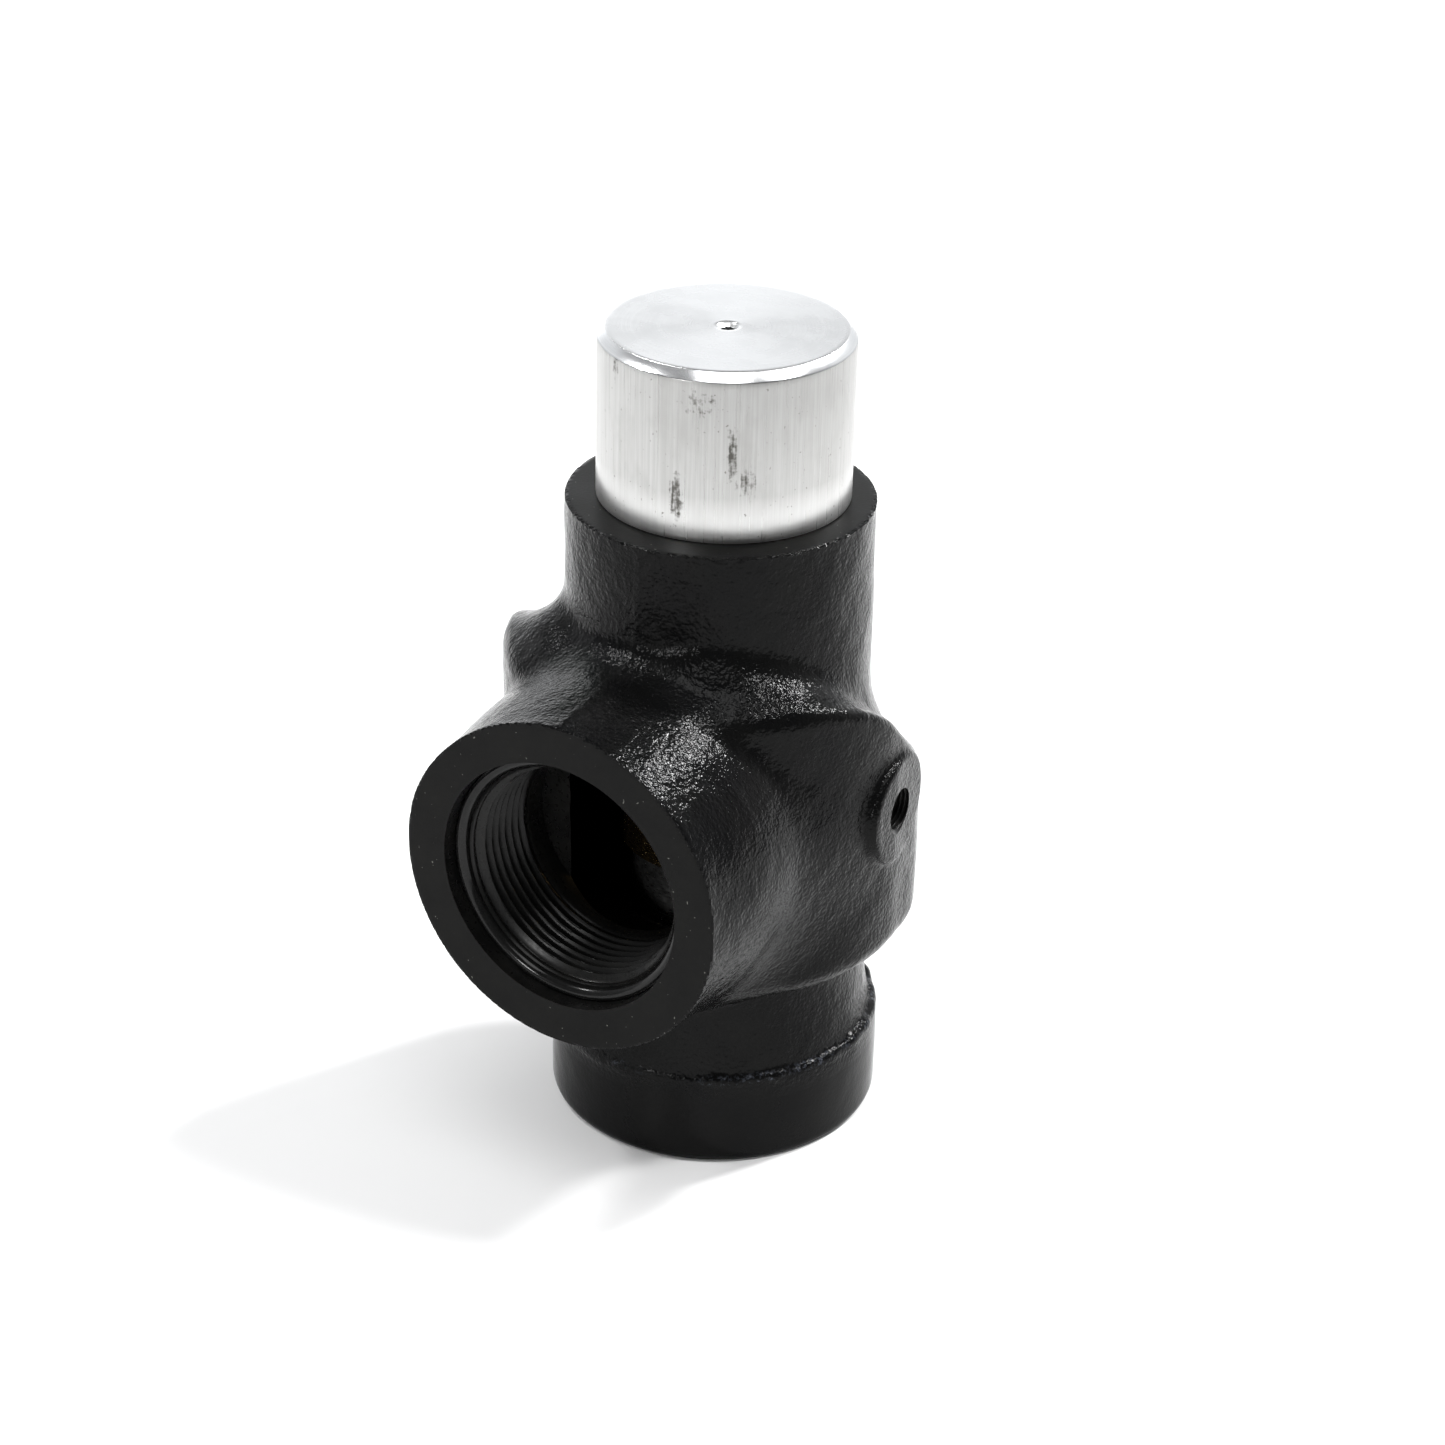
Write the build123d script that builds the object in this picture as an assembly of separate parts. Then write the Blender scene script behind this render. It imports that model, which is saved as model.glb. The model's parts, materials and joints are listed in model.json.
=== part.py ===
from build123d import *
import os
from math import cos, radians, sqrt, tan

os.makedirs("parts", exist_ok=True)

# Pressure relief valve, angle pattern. Millimetres, +Z up, outlet facing -Y.
# Origin: centre of the inlet mouth, on the machined axis, at the bottom face.

# ---- casting ----
cast_x = -0.45          # the rough casting sits a little off the machined axis
cast_y = -1.05
base_x = 0.6
base_y = 0.3
base_r = 34.8
base_top_z = 17.5
base_edge_fillet = 2.5
waist_r = 32.3
waist_z = 24.5
drum_r = 42.5
drum_bottom_z = 42.5
drum_bottom_fillet = 3.0
waist_fillet = 4.0
waist_overlap = 10.0    # how far the drum's own root runs down into the waist
eave_z = 106.5
roof_slope = 0.85       # rise of the roof per mm towards the neck
roof_break_y = -17.0    # behind this line the roof runs down towards the back
roof_back_slope = 0.6
eave_fillet = 2.0
eave_low_z = 60.0       # the eave is nowhere lower than this
neck_r = 30.05
neck_top_z = 137.4
neck_fillet = 5.0

# ---- outlet, 1-1/2 inch NPT, facing -Y ----
npt_r = 21.93           # minor radius of the tapped wall at the mouth
outlet_z = 76.3
outlet_face_y = -60.6
barrel_face_r = 34.9
barrel_root_r = 36.6
barrel_flare_len = 20.0
outlet_recess_r = 26.4
outlet_recess_depth = 3.2
outlet_lip_r = 24.9
outlet_lip_len = outlet_lip_r - npt_r

# ---- inlet, 1-1/2 inch NPT, facing -Z ----
inlet_thread_len = 22.0
inlet_neck_r = 17.0
inlet_cone_len = 5.0

# ---- gauge port, 1/8 inch NPT, facing +X ----
gauge_z = 78.0
gauge_face_x = 43.3
gauge_r = 4.37
gauge_mouth_r = 5.2
gauge_boss_face_r = 11.3
gauge_boss_root_r = 14.0
gauge_boss_root_x = 39.5

# ---- outlet chamber ----
chamber_r = 35.0
chamber_floor_z = 46.0
chamber_roof_z = 99.0
chamber_fillet = 5.0
chamber_reach = 4.0     # how far the ports' tools run into the chamber

# ---- bores on the machined axis ----
seat_bore_r = 19.4
seat_bottom_z = 37.0
guide_bore_r = 20.02
neck_bore_r = 22.5
neck_bore_z = 116.0
clip_groove_r = 20.9
clip_groove_z = 44.3
clip_groove_h = 1.5

# ---- small gaps ----
touch_gap = 0.1         # between pieces that only touch but move apart
static_gap = 0.02       # between pieces that never move apart
running_gap = 0.05      # piston in its sleeve
thread_gap = 0.08       # screwed pieces, threads drawn as plain cylinders

# ---- seat ----
seat_orifice_r = 14.0
seat_shoulder_z = 44.2
seat_nozzle_r = 16.8
seat_lip_r = 15.3
seat_top_z = 46.7
seat_groove_z = 39.5
seat_groove_depth = 1.8
seat_bevel_h = 1.2
clip_lip = 0.8          # how far the clip's inner edge stands off the nozzle
clip_gap = 7.0

# ---- piston ----
piston_r = 17.3
piston_bottom_z = 47.0
piston_top_z = 98.0
piston_bore_r = 13.2
piston_floor_z = 56.0
edge_bevel = 0.6        # on the turned ends of the piston, plug and cap spigot
disc_r = 15.8
disc_t = 3.0
disc_screw_r = 3.0
disc_screw_top_z = 54.5
disc_screw_hole_z = 55.0
disc_washer_r = 8.0
disc_washer_t = 1.5
screw_head_r = 5.0
screw_head_h = 3.2
hex_key_af = 4.0
hex_key_depth = 2.0
vent_r = 0.9
vent_z = 58.9
seal_groove_r = 15.5
seal_groove_z = 88.0
wear_groove_r = 16.2
wear_groove_z = 79.0
wear_groove_h = 4.0
wear_ring_gap = 1.2
seal_proud = 0.02       # how far the seal and wear ring stand out of the piston
piston_lift = 8.0
stop_gap = 0.25
stop_groove_r = 18.1
stop_ring_t = 1.5
stop_ring_gap = 6.0
stop_ring_clear = 0.7   # between the stop ring's bore and the upper spring plate

# ---- guide sleeve ----
sleeve_bottom_z = 60.0
sleeve_flange_t = 3.0
sleeve_groove_z = 109.6
sleeve_groove_r = 18.6
sleeve_bevel = 0.5
sleeve_ring_section_r = 0.68

# ---- springing and adjustment ----
wire_r = 1.8
spring_mean_r = 10.2
spring_turns = 7.5
plate_t = 1.8
plate_clear = 0.15      # round the lower plate
plate_hole_r = 2.5
pilot_chamfer = 1.0
pilot_r = 7.9
pilot_h = 4.0
upper_plate_z = 108.5
upper_plate_r = 15.0
upper_plate_t = 3.5
upper_boss_r = 8.0
upper_boss_h = 3.0
ball_r = 4.0
ball_z = 117.0
screw_r = 6.0
screw_top_z = 154.0
screw_bottom_z = 119.6
screw_slot_w = 1.8
screw_slot_d = 3.0
screw_chamfer = 0.8
plug_bottom_z = 119.1
plug_top_z = 128.3
plug_groove_z = 121.6
spanner_hole_r = 2.0
spanner_pitch_r = 14.0
spanner_hole_depth = 5.0
lock_washer_t = 1.4
lock_washer_r = 11.0
lock_nut_af = 18.0
lock_nut_h = 6.8
lock_washer_clear = 0.3
nut_bevel_angle = 30.0
nut_bevel_in = 0.3      # how far inside the flats the corner bevel starts

# ---- cap, turned from 2 inch aluminium bar ----
cap_r = 25.4
cap_top_z = 172.2
cap_chamfer = 1.72
cap_spigot_z = 130.0
cap_cavity_r = 17.5
cap_cavity_top_z = 160.0
cap_groove_z = 134.7
centre_drill_r = 1.45
centre_drill_mouth_r = 2.2
centre_drill_depth = 5.0

# ---- seals ----
ring_section_r = 0.88
ring_groove_h = 2.2
ring_depth = 1.9

EPS = 1.0               # how far a cutting tool runs past what it cuts
MATCH = 0.05            # how close an edge must be to the place it is looked for


def cyl(r, z0, z1, x=0.0, y=0.0):
    """Upright cylinder between two heights."""
    low = (Align.CENTER, Align.CENTER, Align.MIN)
    return Pos(x, y, z0) * Cylinder(r, z1 - z0, align=low)


def cone(r0, r1, z0, z1, x=0.0, y=0.0):
    """Upright frustum, radius r0 at z0 and r1 at z1."""
    low = (Align.CENTER, Align.CENTER, Align.MIN)
    return Pos(x, y, z0) * Cone(r0, r1, z1 - z0, align=low)


def tube(r_out, r_in, z0, z1):
    """Upright ring between two heights."""
    return cyl(r_out, z0, z1) - cyl(r_in, z0 - EPS, z1 + EPS)


def turned(points, x=0.0, y=0.0):
    """Solid of revolution about +Z from (radius, height) corners."""
    outline = Plane.XZ * make_face(Polyline(*points, close=True))
    return Pos(x, y, 0) * revolve(outline, Axis.Z)


def turned_y(points, z):
    """Solid of revolution about a Y axis at height z, from (radius, y) corners."""
    outline = make_face(Polyline(*points, close=True))
    return Pos(0, 0, z) * revolve(outline, Axis.Y)


def turned_x(points, z):
    """Solid of revolution about an X axis at height z, from (x, radius) corners."""
    outline = make_face(Polyline(*points, close=True))
    return Pos(0, 0, z) * revolve(outline, Axis.X)


def o_ring(mean_r, z, section_r=ring_section_r):
    """Round-section seal ring."""
    return Pos(0, 0, z) * Torus(mean_r, section_r)


def split_ring(r_out, r_in, z0, z1, gap):
    """Ring with a gap cut in its back."""
    slot = Pos(0, (r_out + r_in) / 2, (z0 + z1) / 2)
    cut = Box(gap, 2 * (r_out - r_in), 2 * (z1 - z0))
    return tube(r_out, r_in, z0, z1) - slot * cut


def back_wedge(top_z):
    """Everything above a plane that falls towards the back, at top_z over the roof break."""
    reach = 2 * drum_r
    fall = roof_back_slope * reach
    corners = [
        (roof_break_y - reach, top_z + fall),
        (roof_break_y + reach, top_z - fall),
        (roof_break_y + reach, top_z + fall),
    ]
    outline = Plane.YZ * make_face(Polyline(*corners, close=True))
    return extrude(outline, amount=reach, both=True)


def underside_edges(solid, radius):
    """Circles of one radius at the bottom of the drum."""
    circles = solid.edges().filter_by(GeomType.CIRCLE)
    level = [e for e in circles if abs(e.center().Z - drum_bottom_z) < MATCH]
    return [e for e in level if abs(e.radius - radius) < EPS]


def rim_edges(solid, radius, low_z):
    """Edges that run round the casting's axis at one radius, above a height."""
    found = []
    for edge in solid.edges():
        mid = edge @ 0.5
        out = sqrt((mid.X - cast_x) ** 2 + (mid.Y - cast_y) ** 2)
        between = low_z < mid.Z < neck_top_z - EPS
        if abs(out - radius) < MATCH and between and edge.length > 2 * EPS:
            found.append(edge)
    return found


def drum():
    """Main chamber of the casting, with its conical front roof and sloping back."""
    roof_top_z = eave_z + roof_slope * (drum_r - neck_r)
    corners = [
        (0, drum_bottom_z - waist_overlap),
        (waist_r, drum_bottom_z - waist_overlap),
        (waist_r, drum_bottom_z),
        (drum_r, drum_bottom_z),
        (drum_r, eave_z),
        (neck_r, roof_top_z),
        (0, roof_top_z),
    ]
    solid = turned(corners, cast_x, cast_y)
    solid = fillet(underside_edges(solid, drum_r), drum_bottom_fillet)
    solid = fillet(underside_edges(solid, waist_r), waist_fillet)
    solid = solid - back_wedge(eave_z)
    return fillet(rim_edges(solid, drum_r, eave_low_z), eave_fillet)


def outlet_barrel():
    """Outside of the outlet branch."""
    flare_y = outlet_face_y + barrel_flare_len
    corners = [
        (0, outlet_face_y),
        (barrel_face_r, outlet_face_y),
        (barrel_root_r, flare_y),
        (barrel_root_r, cast_y),
        (0, cast_y),
    ]
    return turned_y(corners, outlet_z)


def gauge_boss():
    """Raised pad round the gauge port."""
    corners = [
        (chamber_r, 0),
        (gauge_face_x, 0),
        (gauge_face_x, gauge_boss_face_r),
        (gauge_boss_root_x, gauge_boss_root_r),
        (chamber_r, gauge_boss_root_r),
    ]
    return turned_x(corners, gauge_z)


def chamber():
    """Hollow round the piston that leads to the outlet."""
    solid = cyl(chamber_r, chamber_floor_z, chamber_roof_z, cast_x, cast_y)
    solid = solid - back_wedge(chamber_roof_z)
    circles = solid.edges().filter_by(GeomType.CIRCLE)
    floor = [e for e in circles if abs(e.center().Z - chamber_floor_z) < MATCH]
    return fillet(floor, chamber_fillet)


def outlet_tool():
    """Mouth recess, lip and tapped wall of the outlet."""
    recess_y = outlet_face_y + outlet_recess_depth
    wall_y = recess_y + outlet_lip_len
    end_y = cast_y - chamber_r + chamber_reach
    corners = [
        (0, outlet_face_y - EPS),
        (outlet_recess_r, outlet_face_y - EPS),
        (outlet_recess_r, recess_y),
        (outlet_lip_r, recess_y),
        (npt_r, wall_y),
        (npt_r, end_y),
        (0, end_y),
    ]
    return turned_y(corners, outlet_z)


def inlet_tool():
    """Tapped wall of the inlet, the cone above it, and the seat pocket."""
    cone_z = inlet_thread_len + inlet_cone_len
    corners = [
        (0, -EPS),
        (npt_r, -EPS),
        (npt_r, inlet_thread_len),
        (inlet_neck_r, cone_z),
        (inlet_neck_r, seat_bottom_z),
        (seat_bore_r, seat_bottom_z),
        (seat_bore_r, clip_groove_z),
        (clip_groove_r, clip_groove_z),
        (clip_groove_r, clip_groove_z + clip_groove_h),
        (seat_bore_r, clip_groove_z + clip_groove_h),
        (seat_bore_r, chamber_floor_z + EPS),
        (0, chamber_floor_z + EPS),
    ]
    return turned(corners)


def neck_tool():
    """Guide bore and tapped neck bore."""
    corners = [
        (0, sleeve_bottom_z),
        (guide_bore_r, sleeve_bottom_z),
        (guide_bore_r, neck_bore_z),
        (neck_bore_r, neck_bore_z),
        (neck_bore_r, neck_top_z + EPS),
        (0, neck_top_z + EPS),
    ]
    return turned(corners)


def gauge_tool():
    """Gauge port with its countersunk mouth."""
    mouth = gauge_mouth_r - gauge_r
    end_x = chamber_r - chamber_reach
    corners = [
        (end_x, 0),
        (gauge_face_x + EPS, 0),
        (gauge_face_x + EPS, gauge_mouth_r + EPS),
        (gauge_face_x - mouth, gauge_r),
        (end_x, gauge_r),
    ]
    return turned_x(corners, gauge_z)


def body():
    """Cast valve body: inlet below, outlet at the front, neck above."""
    band = cyl(base_r, 0, base_top_z, base_x, base_y)
    band = fillet(band.edges().filter_by(GeomType.CIRCLE).group_by(Axis.Z)[0], base_edge_fillet)
    taper = cone(base_r, waist_r, base_top_z, waist_z, base_x, base_y)
    waist = cyl(waist_r, base_top_z, drum_bottom_z, cast_x, cast_y)
    solid = drum() + cyl(neck_r, outlet_z, neck_top_z, cast_x, cast_y)
    solid = fillet(rim_edges(solid, neck_r, eave_low_z), neck_fillet)
    solid = solid + outlet_barrel()
    solid = solid + gauge_boss()
    solid = solid + waist + taper + band
    solid = solid - chamber() - inlet_tool() - neck_tool() - outlet_tool() - gauge_tool()
    return solid


def seat_ring():
    """Replaceable nozzle ring the disc closes on."""
    fit_r = seat_bore_r - static_gap
    groove_r = fit_r - seat_groove_depth
    corners = [
        (seat_orifice_r, seat_bottom_z),
        (fit_r, seat_bottom_z),
        (fit_r, seat_groove_z),
        (groove_r, seat_groove_z),
        (groove_r, seat_groove_z + ring_groove_h),
        (fit_r, seat_groove_z + ring_groove_h),
        (fit_r, seat_shoulder_z),
        (seat_nozzle_r, seat_shoulder_z),
        (seat_nozzle_r, seat_top_z - seat_bevel_h),
        (seat_lip_r, seat_top_z),
        (seat_orifice_r, seat_top_z),
    ]
    return turned(corners)


def seat_o_ring():
    """Seal round the seat ring."""
    centre_r = seat_bore_r - static_gap - ring_section_r - static_gap
    return o_ring(centre_r, seat_groove_z + ring_groove_h / 2)


def seat_retaining_ring():
    """Spring clip over the seat ring."""
    clip_z = clip_groove_z + static_gap
    top_z = clip_groove_z + clip_groove_h - static_gap
    return split_ring(clip_groove_r - touch_gap, seat_nozzle_r + clip_lip, clip_z, top_z, clip_gap)


def piston():
    """Hollow piston, open at the top, closed over the seat."""
    groove_top = seal_groove_z + ring_groove_h
    wear_top = wear_groove_z + wear_groove_h
    corners = [
        (0, piston_bottom_z + disc_t),
        (disc_r, piston_bottom_z + disc_t),
        (disc_r, piston_bottom_z),
        (piston_r - edge_bevel, piston_bottom_z),
        (piston_r, piston_bottom_z + edge_bevel),
        (piston_r, wear_groove_z),
        (wear_groove_r, wear_groove_z),
        (wear_groove_r, wear_top),
        (piston_r, wear_top),
        (piston_r, seal_groove_z),
        (seal_groove_r, seal_groove_z),
        (seal_groove_r, groove_top),
        (piston_r, groove_top),
        (piston_r, piston_top_z - edge_bevel),
        (piston_r - edge_bevel, piston_top_z),
        (piston_bore_r, piston_top_z),
        (piston_bore_r, piston_floor_z),
        (0, piston_floor_z),
    ]
    solid = turned(corners)
    solid = solid - cyl(disc_screw_r + static_gap, piston_bottom_z, disc_screw_hole_z)
    wall = piston_r - piston_bore_r
    vent = Pos(0, piston_r, vent_z) * Rot(90, 0, 0) * Cylinder(vent_r, 2 * wall + 2 * EPS)
    return solid - vent


def seat_disc():
    """Soft disc that seals on the nozzle lip."""
    r_out = disc_r - static_gap
    top = piston_bottom_z + disc_t - static_gap
    return tube(r_out, disc_screw_r + touch_gap, piston_bottom_z, top)


def disc_washer():
    """Washer that clamps the disc."""
    top = piston_bottom_z - static_gap
    return tube(disc_washer_r, disc_screw_r + touch_gap, top - disc_washer_t, top)


def disc_screw():
    """Socket screw up through the washer and disc."""
    head_top = piston_bottom_z - 2 * static_gap - disc_washer_t
    head_low = head_top - screw_head_h
    solid = cyl(screw_head_r, head_low, head_top) + cyl(disc_screw_r, head_top, disc_screw_top_z)
    hexagon = RegularPolygon(hex_key_af / 2, 6, major_radius=False)
    key = extrude(Pos(0, 0, head_low) * hexagon, hex_key_depth)
    return solid - key


def piston_seal():
    """Seal in the piston's upper groove."""
    centre_r = piston_r - ring_section_r + seal_proud
    return o_ring(centre_r, seal_groove_z + ring_groove_h / 2)


def piston_wear_ring():
    """Split bearing strip in the piston's lower groove."""
    low = wear_groove_z + static_gap
    high = wear_groove_z + wear_groove_h - static_gap
    return split_ring(piston_r + seal_proud, wear_groove_r + static_gap, low, high, wear_ring_gap)


def guide_sleeve():
    """Sleeve the piston slides in, hung from its flange in the neck."""
    bore_r = piston_r + running_gap
    out_r = guide_bore_r - static_gap
    flange_r = neck_bore_r - static_gap
    flange_z = neck_bore_z + static_gap
    top_z = neck_bore_z + sleeve_flange_t
    stop_z = piston_top_z + piston_lift + stop_gap
    stop_top = stop_z + stop_ring_t
    groove_top = sleeve_groove_z + ring_groove_h
    corners = [
        (bore_r, sleeve_bottom_z + sleeve_bevel),
        (bore_r + sleeve_bevel, sleeve_bottom_z),
        (out_r - sleeve_bevel, sleeve_bottom_z),
        (out_r, sleeve_bottom_z + sleeve_bevel),
        (out_r, sleeve_groove_z),
        (sleeve_groove_r, sleeve_groove_z),
        (sleeve_groove_r, groove_top),
        (out_r, groove_top),
        (out_r, flange_z),
        (flange_r, flange_z),
        (flange_r, top_z),
        (bore_r, top_z),
        (bore_r, stop_top),
        (stop_groove_r, stop_top),
        (stop_groove_r, stop_z),
        (bore_r, stop_z),
    ]
    return turned(corners)


def sleeve_o_ring():
    """Seal round the guide sleeve."""
    centre_r = guide_bore_r - static_gap - sleeve_ring_section_r
    return o_ring(centre_r, sleeve_groove_z + ring_groove_h / 2, sleeve_ring_section_r)


def lift_stop_ring():
    """Clip in the sleeve that ends the piston's lift."""
    stop_z = piston_top_z + piston_lift + stop_gap + static_gap
    stop_top = stop_z + stop_ring_t - 2 * static_gap
    bore_r = upper_plate_r + stop_ring_clear
    return split_ring(stop_groove_r - static_gap, bore_r, stop_z, stop_top, stop_ring_gap)


def lower_spring_plate():
    """Centring plate under the spring, inside the piston."""
    plate_top = piston_floor_z + plate_t
    base = cyl(piston_bore_r - plate_clear, piston_floor_z + static_gap, plate_top)
    pilot = cyl(pilot_r, plate_top, plate_top + pilot_h)
    solid = base + pilot
    top = solid.edges().filter_by(GeomType.CIRCLE).group_by(Axis.Z)[-1]
    hole = cyl(plate_hole_r, piston_floor_z - EPS, plate_top + pilot_h + EPS)
    return chamfer(top, pilot_chamfer) - hole


def main_spring():
    """Compression spring with both ends ground flat."""
    low = piston_floor_z + plate_t + touch_gap
    high = upper_plate_z - touch_gap
    pitch = (high - low) / spring_turns
    path = Pos(0, 0, low) * Helix(pitch, high - low, spring_mean_r)
    wire = Plane(origin=path @ 0, z_dir=path % 0) * Circle(wire_r)
    coil = sweep(wire, path=path, is_frenet=True)
    keep = cyl(spring_mean_r + 3 * wire_r, low, high)
    return coil & keep


def upper_spring_plate():
    """Plate that presses the spring down, with a cup for the ball."""
    plate = cyl(upper_plate_r, upper_plate_z, upper_plate_z + upper_plate_t)
    pilot = cyl(pilot_r, upper_plate_z - pilot_h, upper_plate_z)
    boss_top = upper_plate_z + upper_plate_t + upper_boss_h
    boss = cyl(upper_boss_r, upper_plate_z + upper_plate_t, boss_top)
    cup = Pos(0, 0, ball_z) * Sphere(ball_r + static_gap)
    return plate + pilot + boss - cup


def thrust_ball():
    """Ball that carries the spring load to the screw."""
    return Pos(0, 0, ball_z) * Sphere(ball_r)


def adjusting_screw():
    """Setting screw with a slotted end and a cup for the ball."""
    solid = cyl(screw_r, screw_bottom_z, screw_top_z)
    ends = solid.edges().filter_by(GeomType.CIRCLE)
    solid = chamfer(ends, screw_chamfer)
    slot = Pos(0, 0, screw_top_z) * Box(screw_slot_w, 3 * screw_r, 2 * screw_slot_d)
    cup = Pos(0, 0, ball_z) * Sphere(ball_r + touch_gap)
    return solid - slot - cup


def bonnet_plug():
    """Screwed plug in the neck that carries the setting screw."""
    out_r = neck_bore_r - static_gap
    groove_r = out_r - ring_depth
    corners = [
        (screw_r + thread_gap, plug_bottom_z),
        (out_r, plug_bottom_z),
        (out_r, plug_groove_z),
        (groove_r, plug_groove_z),
        (groove_r, plug_groove_z + ring_groove_h),
        (out_r, plug_groove_z + ring_groove_h),
        (out_r, plug_top_z - edge_bevel),
        (out_r - edge_bevel, plug_top_z),
        (screw_r + thread_gap, plug_top_z),
    ]
    solid = turned(corners)
    hole = cyl(spanner_hole_r, plug_top_z - spanner_hole_depth, plug_top_z + EPS)
    for side in (-1, 1):
        solid = solid - Pos(side * spanner_pitch_r, 0, 0) * hole
    return solid


def bonnet_o_ring():
    """Seal round the bonnet plug."""
    centre_r = neck_bore_r - 2 * static_gap - ring_section_r
    return o_ring(centre_r, plug_groove_z + ring_groove_h / 2)


def lock_washer():
    """Washer under the lock nut."""
    low = plug_top_z + static_gap
    return tube(lock_washer_r, screw_r + lock_washer_clear, low, low + lock_washer_t)


def lock_nut():
    """Hexagon nut that locks the setting screw."""
    low = plug_top_z + static_gap + lock_washer_t + touch_gap
    high = low + lock_nut_h
    flat_r = lock_nut_af / 2
    hexagon = RegularPolygon(flat_r, 6, major_radius=False)
    blank = extrude(Pos(0, 0, low) * hexagon, lock_nut_h)
    corner_r = flat_r / cos(radians(30))
    bevel = tan(radians(nut_bevel_angle)) * (corner_r - flat_r + nut_bevel_in)
    crown = turned([
        (0, low),
        (flat_r - nut_bevel_in, low),
        (corner_r, low + bevel),
        (corner_r, high - bevel),
        (flat_r - nut_bevel_in, high),
        (0, high),
    ])
    return (blank & crown) - cyl(screw_r + thread_gap, low - EPS, high + EPS)


def cap():
    """Plain round cap, screwed into the neck over the setting screw."""
    shoulder_z = neck_top_z + touch_gap
    spigot_r = neck_bore_r - thread_gap
    groove_r = spigot_r - ring_depth
    corners = [
        (cap_cavity_r, cap_spigot_z),
        (spigot_r - edge_bevel, cap_spigot_z),
        (spigot_r, cap_spigot_z + edge_bevel),
        (spigot_r, cap_groove_z),
        (groove_r, cap_groove_z),
        (groove_r, cap_groove_z + ring_groove_h),
        (spigot_r, cap_groove_z + ring_groove_h),
        (spigot_r, shoulder_z),
        (cap_r, shoulder_z),
        (cap_r, cap_top_z - cap_chamfer),
        (cap_r - cap_chamfer, cap_top_z),
        (centre_drill_mouth_r, cap_top_z),
        (centre_drill_r, cap_top_z - (centre_drill_mouth_r - centre_drill_r)),
        (centre_drill_r, cap_top_z - centre_drill_depth),
        (0, cap_top_z - centre_drill_depth - centre_drill_r / 2),
        (0, cap_cavity_top_z),
        (cap_cavity_r, cap_cavity_top_z),
    ]
    return turned(corners)


def cap_o_ring():
    """Seal under the cap's shoulder."""
    centre_r = neck_bore_r - thread_gap - ring_section_r
    return o_ring(centre_r, cap_groove_z + ring_groove_h / 2)


nodes = {
    "body": body,
    "seat_ring": seat_ring,
    "seat_o_ring": seat_o_ring,
    "seat_retaining_ring": seat_retaining_ring,
    "piston": piston,
    "seat_disc": seat_disc,
    "disc_washer": disc_washer,
    "disc_screw": disc_screw,
    "piston_seal": piston_seal,
    "piston_wear_ring": piston_wear_ring,
    "guide_sleeve": guide_sleeve,
    "sleeve_o_ring": sleeve_o_ring,
    "lift_stop_ring": lift_stop_ring,
    "lower_spring_plate": lower_spring_plate,
    "main_spring": main_spring,
    "upper_spring_plate": upper_spring_plate,
    "thrust_ball": thrust_ball,
    "adjusting_screw": adjusting_screw,
    "bonnet_plug": bonnet_plug,
    "bonnet_o_ring": bonnet_o_ring,
    "lock_washer": lock_washer,
    "lock_nut": lock_nut,
    "cap": cap,
    "cap_o_ring": cap_o_ring,
}

for node, make in nodes.items():
    export_step(make(), f"parts/{node}.step")
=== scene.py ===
"""Visual model of the pressure relief valve: cast body, bare cap and the working parts inside.

Lengths are millimetres in the functions that build shapes and metres in the meshes.
"""

import json
import math

import bmesh
import bpy
import numpy as np
from mathutils import Matrix, Vector


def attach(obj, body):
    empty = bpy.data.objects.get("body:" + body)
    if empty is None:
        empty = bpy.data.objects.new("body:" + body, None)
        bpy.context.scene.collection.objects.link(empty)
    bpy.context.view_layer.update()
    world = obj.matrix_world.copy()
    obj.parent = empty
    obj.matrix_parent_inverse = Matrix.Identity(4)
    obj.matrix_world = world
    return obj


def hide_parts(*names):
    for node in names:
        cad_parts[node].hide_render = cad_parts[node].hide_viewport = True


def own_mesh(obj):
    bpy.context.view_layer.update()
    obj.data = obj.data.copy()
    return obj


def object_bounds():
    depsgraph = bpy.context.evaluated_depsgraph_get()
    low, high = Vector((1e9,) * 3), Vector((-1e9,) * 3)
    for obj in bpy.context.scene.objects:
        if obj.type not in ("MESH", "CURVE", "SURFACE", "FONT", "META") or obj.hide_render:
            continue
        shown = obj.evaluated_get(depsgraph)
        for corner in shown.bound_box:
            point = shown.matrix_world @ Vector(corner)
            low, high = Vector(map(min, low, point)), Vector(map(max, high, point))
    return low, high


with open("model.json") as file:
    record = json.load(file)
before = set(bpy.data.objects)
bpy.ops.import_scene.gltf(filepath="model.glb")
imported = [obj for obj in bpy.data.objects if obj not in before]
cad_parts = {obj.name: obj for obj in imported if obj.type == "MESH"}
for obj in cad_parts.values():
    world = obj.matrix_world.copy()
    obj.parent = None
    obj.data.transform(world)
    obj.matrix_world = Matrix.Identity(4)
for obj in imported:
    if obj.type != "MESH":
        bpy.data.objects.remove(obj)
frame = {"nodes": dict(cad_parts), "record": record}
cad_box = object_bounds()

MM = 0.001
TAU = 2 * math.pi

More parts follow.
